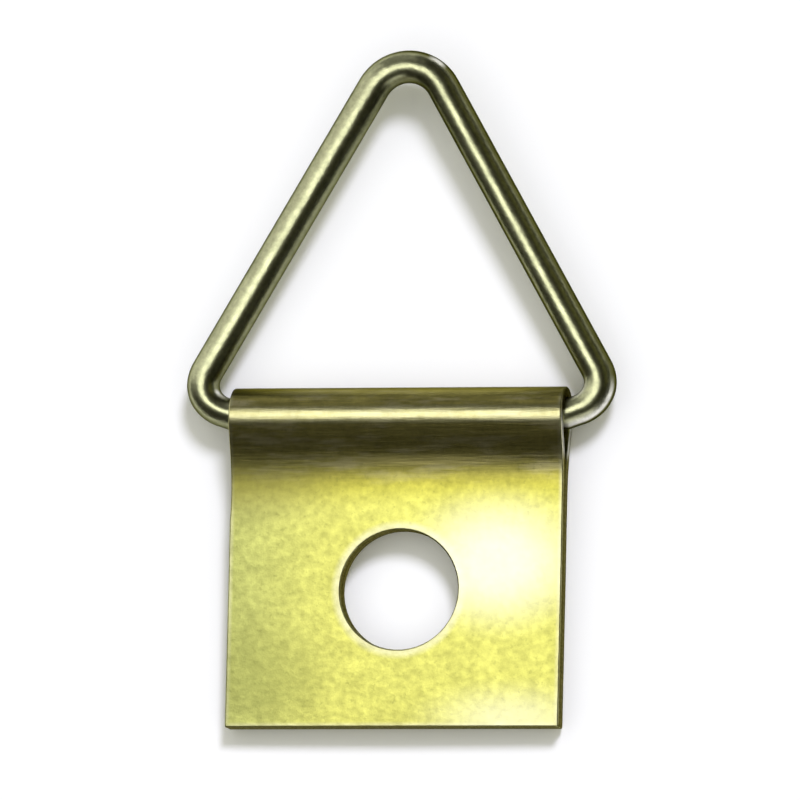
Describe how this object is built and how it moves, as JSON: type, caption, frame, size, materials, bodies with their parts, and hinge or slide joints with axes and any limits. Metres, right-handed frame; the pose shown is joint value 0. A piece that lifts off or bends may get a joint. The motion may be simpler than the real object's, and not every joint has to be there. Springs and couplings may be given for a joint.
{
  "type": "triangle picture hanger",
  "caption": "Brass-plated strap folded round a swinging triangular wire ring and pierced for a screw, for hanging a picture frame.",
  "frame": {"origin": "under the middle of the whole hanger, level with the lowest line of the fold", "axes": "X across the strap, +Y from the fold to the tip of the ring, +Z out of the strap's front leaf"},
  "size_m": [0.018, 0.028, 0.0023],
  "materials": {
    "strap_plating": "satin, mottled brass plating on rolled steel strip",
    "ring_plating": "bright brass plating on drawn steel wire"
  },
  "bodies": {
    "strap": {"strap": "strap_plating"},
    "ring": {"triangle_ring": "ring_plating"}
  },
  "joints": [
    {"name": "ring_swing", "type": "hinge", "parent": "strap", "child": "ring", "pos_m": [0, -0.00109, 0.00112], "axis": [1, 0, 0], "range_deg": [-160, 160]}
  ]
}
